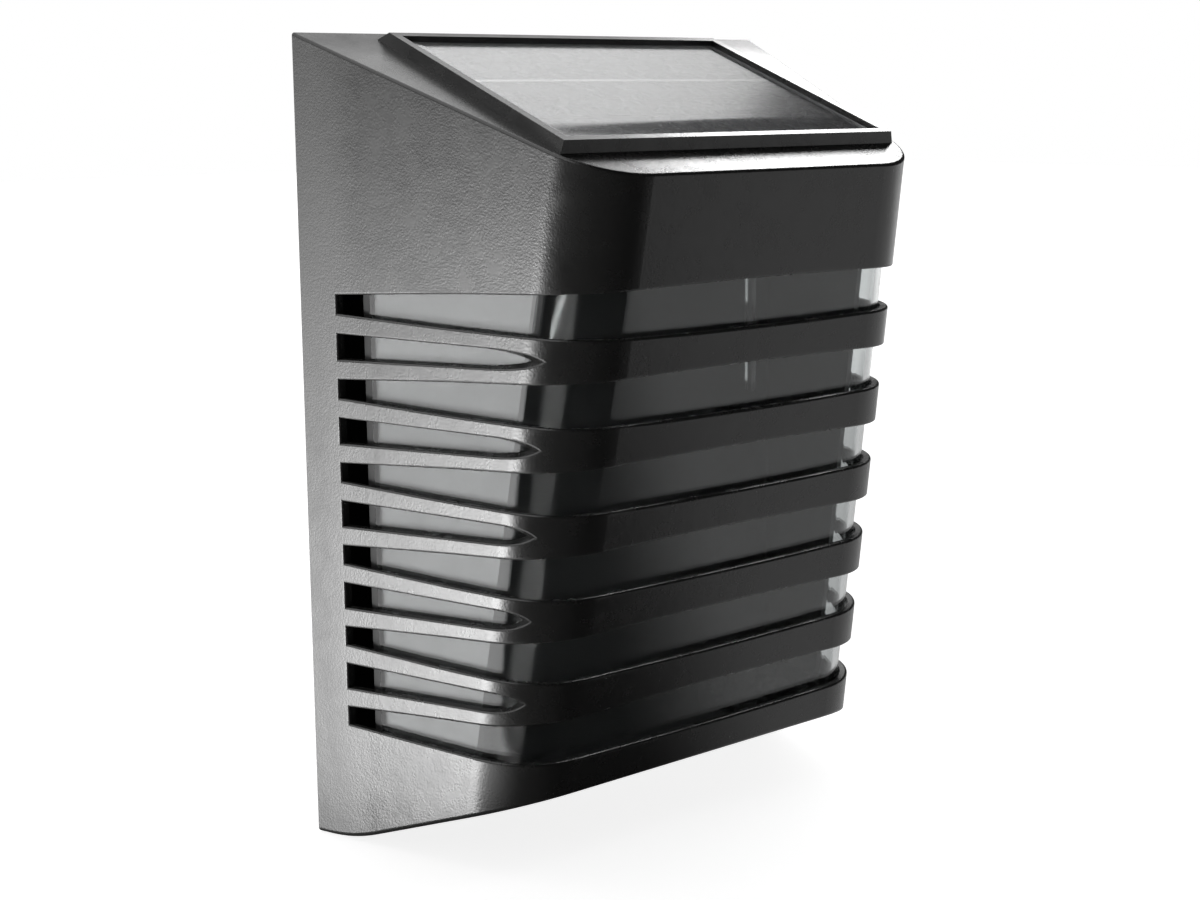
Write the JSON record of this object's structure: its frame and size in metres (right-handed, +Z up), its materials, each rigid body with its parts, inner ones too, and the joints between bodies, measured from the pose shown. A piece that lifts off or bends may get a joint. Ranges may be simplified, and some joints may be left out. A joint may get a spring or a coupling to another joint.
{
  "type": "fence light",
  "caption": "Solar fence light: a louvred wedge housing hung on a wall, with a clear lens, a sloping solar panel and a slide switch on its back.",
  "frame": {"origin": "on the wall plane at the back cover's face, midway up and midway across the housing", "axes": "+Z up, +X to the right seen from the front, +Y into the wall; the front of the lamp faces -Y"},
  "size_m": [0.117, 0.0639, 0.1505],
  "materials": {
    "housing_plastic": "black moulded plastic, semi-matt",
    "cover_plastic": "black moulded plastic, fine texture",
    "clear_plastic": "clear polished plastic",
    "backing_plastic": "black moulded plastic, matt",
    "cell_wrap": "green shrink sleeve over the can",
    "plated_steel": "nickel-plated steel",
    "screw_steel": "zinc-plated steel",
    "switch_plastic": "black plastic",
    "lug_brass": "tinned brass",
    "knob_plastic": "pale plastic",
    "board_laminate": "green solder mask",
    "chip_plastic": "black epoxy",
    "coil_body": "lacquered",
    "lamp_resin": "clear epoxy with a yellow phosphor",
    "panel_laminate": "white laminate",
    "cell_silicon": "dark silicon",
    "ribbon_metal": "tinned ribbon",
    "panel_resin": "clear epoxy coat",
    "adhesive": "grey sealant",
    "wire_red": "red sleeve",
    "wire_black": "black sleeve",
    "wire_white": "white sleeve"
  },
  "bodies": {
    "lamp": {"housing": "housing_plastic", "lens": "clear_plastic", "backing_tray": "backing_plastic", "back_cover": "cover_plastic", "battery_cell": "cell_wrap", "battery_cap": "plated_steel", "contact_positive": "plated_steel", "contact_negative": "plated_steel", "contact_spring": "plated_steel", "switch_body": "switch_plastic", "switch_lugs": "lug_brass", "circuit_board": "board_laminate", "controller_chip": "chip_plastic", "inductor": "coil_body", "lamp_right": "lamp_resin", "lamp_left": "lamp_resin", "solar_base": "panel_laminate", "solar_cells": "cell_silicon", "cell_ribbon": "ribbon_metal", "solar_cover": "panel_resin", "panel_adhesive": "adhesive", "solar_wire_positive": "wire_red", "solar_wire_negative": "wire_black", "battery_wire_positive": "wire_red", "battery_wire_negative": "wire_black", "switch_wire_live": "wire_white", "switch_wire_return": "wire_white", "cover_screws": "screw_steel", "lens_screws": "screw_steel", "board_screws": "screw_steel", "switch_screws": "screw_steel"},
    "knob": {"switch_knob": "knob_plastic"},
    "door": {"battery_door": "cover_plastic"}
  },
  "joints": [
    {"name": "switch_slide", "type": "slide", "parent": "lamp", "child": "knob", "axis": [1, 0, 0], "range_m": [0, 0.002]},
    {"name": "door_lift", "type": "slide", "parent": "lamp", "child": "door", "axis": [0, 1, 0], "range_m": [0, 0.012]}
  ]
}
